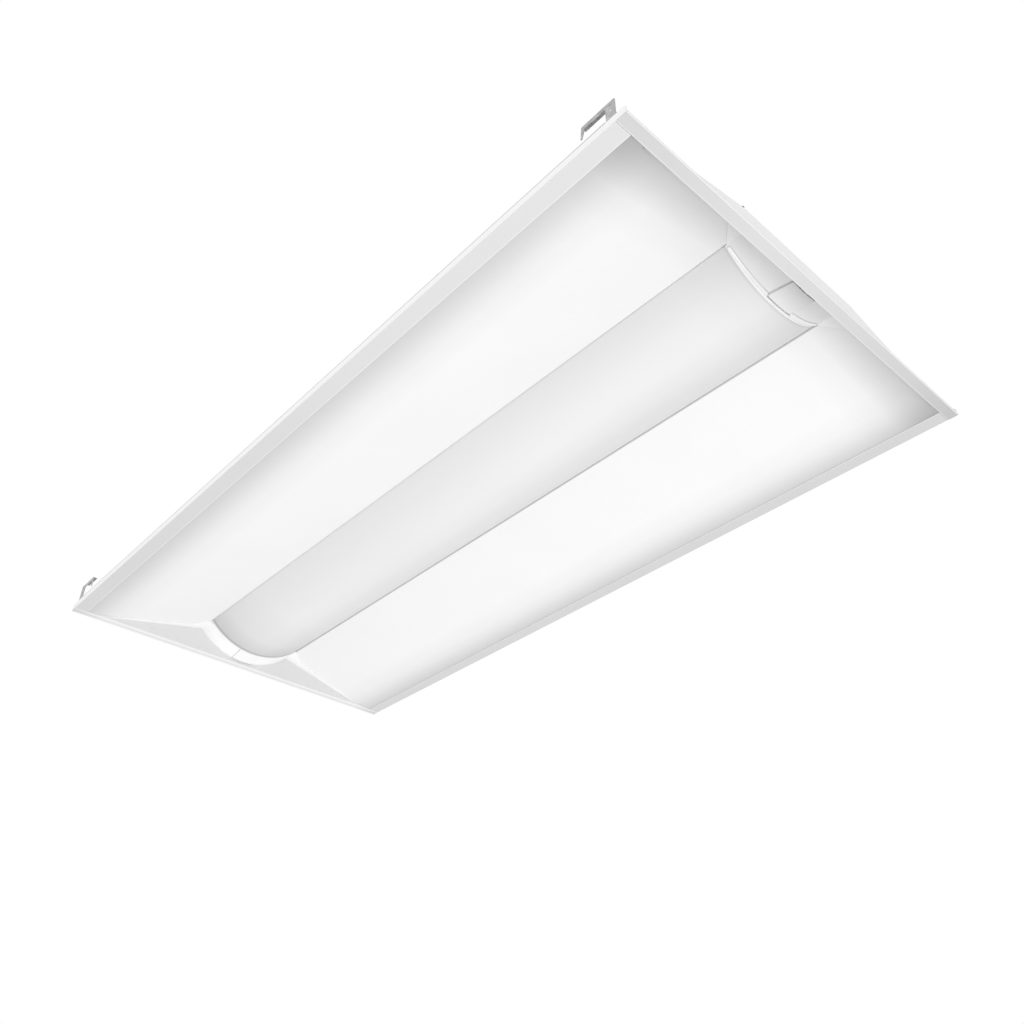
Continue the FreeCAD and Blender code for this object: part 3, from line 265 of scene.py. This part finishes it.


# ---------------------------------------------------------------- tones of the materials
# Each is an axis and its (millimetres, tone) stops; True takes the distance from the middle.
# These stand for the shade that the photograph's light leaves on the sheet, and stay where
# they are under any other light. FEED_SHADE, EDGE_SHADE, LENS_ENDS and LENS_SIDES were fitted
# to the photograph's brightness and then changed; the others were set one by one.
FEED_SHADE = ("X", [(-594, 0.62), (-570, 0.735), (-540, 0.94), (-500, 1.0)])
EDGE_SHADE = ("Y", [(205, 1.0), (235, 0.945), (250, 0.875), (264, 0.78), (281, 0.68)], True)
FEED_BAND = ("X", [(-592, 0.60), (-575, 0.70), (-556, 0.87)])
FEED_LEAF = ("X", [(-590, 0.54), (-576, 0.69), (-556, 0.88)])
LENS_ENDS = ("X", [(-556, 0.87), (-535, 0.93), (-480, 0.98), (-200, 1.0), (400, 1.0),
                   (500, 0.93), (540, 0.795), (556, 0.775)])
LENS_SIDES = ("Y", [(-85, 0.93), (-78, 0.89), (-68, 0.86), (-55, 0.895), (-35, 0.925),
                    (-15, 0.98), (10, 1.0), (40, 0.975), (60, 0.955), (85, 0.955)])
LENS_TIPS = ("X", [(-554, 0.84), (-552.6, 0.84), (-551.6, 1.0), (546.5, 1.0), (550, 0.74),
                   (554, 0.72)])
# A painted shade line along the right wing's edge beside the diffuser.
THROAT_PAINTED_SHADE = ("Y", [(-87.8, 1.0), (-87.0, 0.64), (-85, 0.64)])
# Painted shade: the far end plate darker above its trim, and a dark line across its trim.
FAR_WALL = ("Z", [(1.0, 1.0), (1.5, 0.86)])
FAR_GROOVE_PAINTED_SHADE = ("X", [(592, 1.0), (597, 1.0), (599, 0.85), (601, 0.85), (603, 1.0), (607, 1.0)])
# Painted shade of the flat trims: darker than the sheet above them, and uneven along them.
LEFT_TRIM = ("X", [(-600, 0.80), (-200, 0.79), (0, 0.75), (600, 0.735)])
RIGHT_TRIM = ("X", [(-600, 0.71), (0, 0.72), (600, 0.745)])
FEED_TRIM = ("Y", [(-300, 0.58), (-200, 0.68), (-100, 0.72), (100, 0.765), (200, 0.715),
                   (300, 0.69)])
FAR_TRIM = ("Y", [(-300, 0.76), (-250, 0.93), (250, 0.93), (300, 0.74)])

# The trims' painted highlights on their edges: a stop's second value is the share of the grey
# below.
RAIL_PAINTED_HIGHLIGHT = ("Y", [(281.0, 0.4), (282.0, 0.4), (282.8, 0)], True)
END_PAINTED_HIGHLIGHT = ("X", [(592.0, 0.4), (593.0, 0.4), (593.8, 0)], True)
OUTER_EDGE_PAINTED_HIGHLIGHT = ("X", [(604.6, 0), (605.4, 0.6), (606.5, 0.6)], True)
HIGHLIGHT_TONE = 0.88

ABOVE_FLANGE = ("Z", [(1.0, 0), (1.4, 1)])      # 0 on the flat trim and 1 above it
SHEET_TONE = 0.86


# ---------------------------------------------------------------- materials
def enamel(name, tone, soft=(), flange=(), lines=()):
    """White powder coat: a fine orange peel, faint clouding and specks. soft lists painted shade,
    flange the painted shade of the flat trim alone, and lines the painted highlights on its
    edges."""
    material, tree, shader = new_material(name)
    clouds = ramp(tree, noise(tree, size=0.11, detail=3), (0.3, grey(tone * 0.985)),
                  (0.7, grey(tone)))
    specks = ramp(tree, noise(tree, size=0.0016), (0.30, grey(0.965)), (0.42, grey(1.0)))
    colour = multiply(tree, clouds, specks)
    # Painted shade over the whole part.
    for change in soft:
        colour = multiply(tree, colour, tones(tree, *change))
    if flange:
        trim = colour
        # Painted shade of the flat trim alone.
        for change in flange:
            trim = multiply(tree, trim, tones(tree, *change))
        # Painted highlights: the trim's edges mixed towards a lighter grey.
        for line in lines:
            trim = blend_colours(tree, tones(tree, *line), trim, plain(tree, HIGHLIGHT_TONE))
        colour = blend_colours(tree, tones(tree, *ABOVE_FLANGE), trim, colour)
    tree.links.new(colour, shader.inputs["Base Color"])
    tree.links.new(spread(tree, noise(tree, size=0.02, detail=3), low=0.40, high=0.52),
                   shader.inputs["Roughness"])
    bump(tree, shader, noise(tree, size=0.0022), strength=0.25, depth=0.00005)
    return material


def galvanised(name, tone):
    """Zinc coated sheet with its spangle of crystals and rolling marks."""
    material, tree, shader = new_material(name)
    cool = (0.99, 1.0, 1.01)
    crystals = grains(tree, size=0.007)
    spangle = ramp(tree, crystals, (0.0, grey(tone * 0.80, cool)), (1.0, grey(tone * 1.12, cool)))
    clouds = ramp(tree, noise(tree, size=0.03, detail=4), (0.3, grey(0.88)), (0.7, grey(1.0)))
    tree.links.new(multiply(tree, spangle, clouds), shader.inputs["Base Color"])
    shader.inputs["Metallic"].default_value = 0.6
    tree.links.new(spread(tree, crystals, low=0.34, high=0.52), shader.inputs["Roughness"])
    bump(tree, shader, noise(tree, size=0.004, detail=3, stretch=(0.15, 1, 1)), strength=0.2,
         depth=0.00006)
    return material


def zinc_steel(name):
    """Bright zinc plated screws and pins."""
    material, tree, shader = new_material(name)
    cool = (0.97, 0.99, 1.02)
    colour = ramp(tree, noise(tree, size=0.002, detail=3), (0.3, grey(0.52, cool)),
                  (0.7, grey(0.68, cool)))
    tree.links.new(colour, shader.inputs["Base Color"])
    shader.inputs["Metallic"].default_value = 1.0
    tree.links.new(spread(tree, noise(tree, size=0.001), low=0.25, high=0.42),
                   shader.inputs["Roughness"])
    bump(tree, shader, noise(tree, size=0.0008), strength=0.2, depth=0.00004)
    return material


def diffuser(name, soft):
    """Satin opal acrylic, extruded along the length, with faint draw lines."""
    material, tree, shader = new_material(name)
    colour = ramp(tree, noise(tree, size=0.09, detail=3, stretch=(0.2, 1, 1)),
                  (0.3, grey(0.775)), (0.7, grey(0.79)))
    # Painted shade: the diffuser darker towards its ends, its sides and under the caps.
    for change in soft:
        colour = multiply(tree, colour, tones(tree, *change))
    tree.links.new(colour, shader.inputs["Base Color"])
    tree.links.new(spread(tree, noise(tree, size=0.003, stretch=(0.03, 1, 1)), low=0.30,
                          high=0.40), shader.inputs["Roughness"])
    bump(tree, shader, noise(tree, size=0.0015, stretch=(0.05, 1, 1)), strength=0.15,
         depth=0.00004)
    return material


def plastic(name, colour, rough=0.4):
    """Moulded plastic with a fine spark texture."""
    material, tree, shader = new_material(name)
    shaded = tuple(part * 0.93 for part in colour)
    tree.links.new(ramp(tree, noise(tree, size=0.012, detail=3), (0.3, shaded), (0.7, colour)),
                   shader.inputs["Base Color"])
    tree.links.new(spread(tree, noise(tree, size=0.003), rough - 0.06, rough + 0.06),
                   shader.inputs["Roughness"])
    bump(tree, shader, noise(tree, size=0.0007), strength=0.25, depth=0.00004)
    return material


def board(name):
    """White solder mask over copper: faint raised tracks along the board."""
    material, tree, shader = new_material(name)
    tracks = tree.nodes.new("ShaderNodeTexBrick")
    tracks.inputs["Scale"].default_value = 1.0
    tracks.inputs["Brick Width"].default_value = 0.022
    tracks.inputs["Row Height"].default_value = 0.0115
    tracks.inputs["Mortar Size"].default_value = 0.0006
    tracks.inputs["Mortar Smooth"].default_value = 0.3
    tracks.inputs["Color1"].default_value = (*grey(0.86), 1)
    tracks.inputs["Color2"].default_value = (*grey(0.84), 1)
    tracks.inputs["Mortar"].default_value = (*grey(0.70), 1)
    tree.links.new(coordinates(tree), tracks.inputs["Vector"])
    tree.links.new(tracks.outputs["Color"], shader.inputs["Base Color"])
    tree.links.new(spread(tree, noise(tree, size=0.004), low=0.30, high=0.42),
                   shader.inputs["Roughness"])
    bump(tree, shader, tracks.outputs["Fac"], strength=0.4, depth=0.00005)
    return material


# The white enamel parts are one paint, yet each gets its own base tone, 0.86 to 0.93: lit and
# shaded copies of one enamel, painted light and shade.
MATERIALS = {
    "white_enamel": enamel("white_enamel", SHEET_TONE, [FEED_SHADE, EDGE_SHADE]),
    "side_rail_left": enamel("left_trim", SHEET_TONE, flange=[LEFT_TRIM], lines=[RAIL_PAINTED_HIGHLIGHT]),
    "side_rail_right": enamel("right_trim", SHEET_TONE, flange=[RIGHT_TRIM], lines=[RAIL_PAINTED_HIGHLIGHT]),
    "end_plate_feed": enamel("feed_trim", 0.87, flange=[FEED_TRIM], lines=[END_PAINTED_HIGHLIGHT, OUTER_EDGE_PAINTED_HIGHLIGHT]),
    "end_plate_far": enamel("far_trim", 0.90, [FAR_WALL], [FAR_TRIM, FAR_GROOVE_PAINTED_SHADE], [END_PAINTED_HIGHLIGHT]),
    "end_band_feed": enamel("feed_band", 0.88, [FEED_BAND, EDGE_SHADE]),
    "end_band_far": enamel("far_band", 0.93, [EDGE_SHADE]),
    "reflector_right": enamel("right_wing", SHEET_TONE, [FEED_SHADE, EDGE_SHADE, THROAT_PAINTED_SHADE]),
    "catch_leaf_feed": enamel("feed_leaf", 0.88, [FEED_LEAF]),
    "catch_leaf_far": enamel("far_leaf", 0.91),
    # The end caps' rim: a lighter copy of the enamel, a painted highlight.
    "rim_painted_highlight": enamel("rim_painted_highlight", 0.91),
    "galvanised": galvanised("galvanised", 0.72),
    "cut_edge": galvanised("cut_edge", 0.16),
    "clip_steel": galvanised("clip_steel", 0.52),
    "zinc_steel": zinc_steel("zinc_steel"),
    "diffuser": diffuser("diffuser", [LENS_ENDS, LENS_SIDES, LENS_TIPS]),
    "cap_plastic": plastic("cap_plastic", (0.87, 0.87, 0.86), 0.35),
    "board_white": board("board_white"),
    "phosphor": plastic("phosphor", (0.86, 0.66, 0.16), 0.25),
    "plug_plastic": plastic("plug_plastic", (0.80, 0.79, 0.75)),
    "driver_can": enamel("driver_can", 0.62),
    "block_plastic": plastic("block_plastic", (0.85, 0.83, 0.78)),
    "earth_green": plastic("earth_green", (0.05, 0.32, 0.10)),
    "black_nylon": plastic("black_nylon", (0.03, 0.03, 0.03), 0.45),
}


def finish(materials):
    """Each node's material: the one of its own name if there is one, otherwise that of the
    slot that its record names. The grid clips are of a darker steel than the other sheet."""
    slots = {part["node"]: part["material_slot"] for part in frame["record"]["subparts"]}
    for node, item in NODES.items():
        slot = node if node in materials else slots[node]
        if node.startswith("grid_clip"):
            slot = "clip_steel"
        item.data.materials.clear()
        item.data.materials.append(materials[slot])


# ---------------------------------------------------------------- sizes of the added pieces
# Millimetres, from the middle of the light and the face of its trim. An arch is half its
# width, its height in the middle and its height at the sides.
LENS_ARCH = (84.9, 7, 42.8)
BEZEL_ARCH = (85.5, 13.5, 42.18)            # at the bezel's inner edge
BEZEL_ARCH_OVER_LIP = (85.5, 13.0, 42.18)   # where the lip stops below it

RIM_START = 555.6
LIP_STOP = 558.6
EDGE_STOP = 556.0
EDGE_TOP = 13.2
LEAF_ROOM = 20.9                            # half of the width that the lips leave to the leaf
LIP_SPANS = ((LEAF_ROOM, 83.0), (-LEAF_ROOM, -80.0))
LIP_STEPS = 24
EDGE_STEPS = 16
BELOW_BEZEL = 0.3
ABOVE_LENS = 0.4
LIP_START_WALL = 0.9
LIP_STOP_WALL = 0.8

HEM_ENDS = ((557.4, 14.65), (591.2, 8.3))   # each end's place along and lowest height
HEM_SIDES = (20.12, 20.5)
HEM_HEIGHT = 1.2

SILL_SPAN = (7.9, 18.5)
SILL_STEPS = 8
SILL_EDGES = (588.4, 591.8)
SILL_LOW = 7.05
SILL_CURVE = 0.0042                         # its rise for each square millimetre sideways
SILL_HEIGHT = 0.8

SPINE_CORNER = ((99.6, 53.0), (102.4, 53.0), (102.4, 57.6), (99.6, 58.6))
SPINE_CORNER_ENDS = (-592.6, -590.4)

LENS_RIM_END = 553.5
LENS_RIM_SIDES = (84.6, 85.25)
LENS_RIM_HEIGHTS = (42.3, 43.4)


# ---------------------------------------------------------------- added pieces
def piece(name, body, slot, material, *solids):
    """A mesh of one or more solids, in millimetres, that rides on a body."""
    points, faces = [], []
    for solid_points, solid_faces in solids:
        faces += [tuple(corner + len(points) for corner in face) for face in solid_faces]
        points += [tuple(value * MM for value in point) for point in solid_points]
    mesh = bpy.data.meshes.new(name)
    mesh.from_pydata(points, [], faces)
    shell = bmesh.new()
    shell.from_mesh(mesh)
    bmesh.ops.recalc_face_normals(shell, faces=shell.faces)
    shell.to_mesh(mesh)
    shell.free()
    mesh.materials.append(MATERIALS[material])
    item = bpy.data.objects.new(name, mesh)
    bpy.context.scene.collection.objects.link(item)
    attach(item, body)


def swept(sections):
    """Points and faces of a solid strip that passes through the given closed sections."""
    count = len(sections[0])
    points = [point for section in sections for point in section]
    faces = [tuple(range(count)), tuple(range(len(points) - count, len(points)))]
    for first in range(0, len(points) - count, count):
        for corner in range(count):
            after = (corner + 1) % count
            faces.append((first + corner, first + after, first + count + after,
                          first + count + corner))
    return points, faces


def upright_across(along, near, far, low, high):
    """A section at one place along the length: a rectangle from near to far across it."""
    return [(along, near, low), (along, far, low), (along, far, high), (along, near, high)]


def upright_along(across, near, far, low, high):
    """A section at one place across the width: a rectangle from near to far along it."""
    return [(near, across, low), (far, across, low), (far, across, high), (near, across, high)]


def arch(half, low, high, across):
    """Height of an arch at a place across it: low in its middle, high at half its width."""
    radius = (half ** 2 + (high - low) ** 2) / (2 * (high - low))
    return low + radius - math.sqrt(radius ** 2 - across ** 2)


def steps(start, stop, count):
    return [start + (stop - start) * step / count for step in range(count + 1)]


def cap_rim(name, end):
    """The rim of an end cap, whiter than the cap's plastic as a painted highlight: a lip below
    the bezel on each side of the leaf, and a plain edge along the leaf."""
    solids = []
    for span in LIP_SPANS:
        sections = []
        for across in steps(*span, LIP_STEPS):
            inner = arch(*BEZEL_ARCH, across) - BELOW_BEZEL
            outer = arch(*BEZEL_ARCH_OVER_LIP, across) - BELOW_BEZEL
            rim = min(arch(*LENS_ARCH, across) + ABOVE_LENS, inner - LIP_START_WALL)
            sections.append([(end * RIM_START, across, inner), (end * LIP_STOP, across, outer),
                             (end * LIP_STOP, across, outer - LIP_STOP_WALL),
                             (end * RIM_START, across, rim)])
        solids.append(swept(sections))
    sections = []
    for across in steps(-LEAF_ROOM, LEAF_ROOM, EDGE_STEPS):
        rim = arch(*LENS_ARCH, across) + ABOVE_LENS
        sections.append(upright_along(across, end * RIM_START, end * EDGE_STOP, EDGE_TOP, rim))
    solids.append(swept(sections))
    piece(name, "lens_basket", "cap_plastic", "rim_painted_highlight", *solids)


def window_hems(name, end, material):
    """The folded edges of the bezel's opening, close beside the leaf."""
    near, far = HEM_SIDES
    solids = []
    for side in (1, -1):
        sections = [upright_across(end * along, side * near, side * far, low, low + HEM_HEIGHT)
                    for along, low in HEM_ENDS]
        solids.append(swept(sections))
    piece(name, "housing", "white_enamel", material, *solids)


def window_sill(name, end, material):
    """The turned edge of the bezel's opening, behind the root of the leaf, on each side of
    its lug."""
    near, far = SILL_EDGES
    solids = []
    for side in (1, -1):
        sections = []
        for across in steps(*SILL_SPAN, SILL_STEPS):
            low = SILL_LOW + SILL_CURVE * across ** 2
            sections.append(upright_along(side * across, end * near, end * far, low,
                                          low + SILL_HEIGHT))
        solids.append(swept(sections))
    piece(name, "housing", "white_enamel", material, *solids)


def spine_corner():
    """The cut corner of the spine that shows above the feed end's wall."""
    solid = swept([[(along, across, up) for across, up in SPINE_CORNER]
                   for along in SPINE_CORNER_ENDS])
    piece("spine_corner_feed", "housing", "galvanised", "cut_edge", solid)


def lens_rim():
    """The diffuser's turned edge on its free side."""
    sections = [upright_across(along, *LENS_RIM_SIDES, *LENS_RIM_HEIGHTS)
                for along in (-LENS_RIM_END, LENS_RIM_END)]
    piece("lens_rim", "lens_basket", "diffuser", "diffuser", swept(sections))


camera()
floor()
studio()
finish(MATERIALS)
cap_rim("cap_rim_feed", -1)
cap_rim("cap_rim_far", 1)
window_hems("window_hems_feed", -1, "end_band_feed")
window_hems("window_hems_far", 1, "end_band_far")
window_sill("window_sill_feed", -1, "end_band_feed")
window_sill("window_sill_far", 1, "end_band_far")
spine_corner()
lens_rim()

bpy.context.scene.view_settings.view_transform = "Standard"
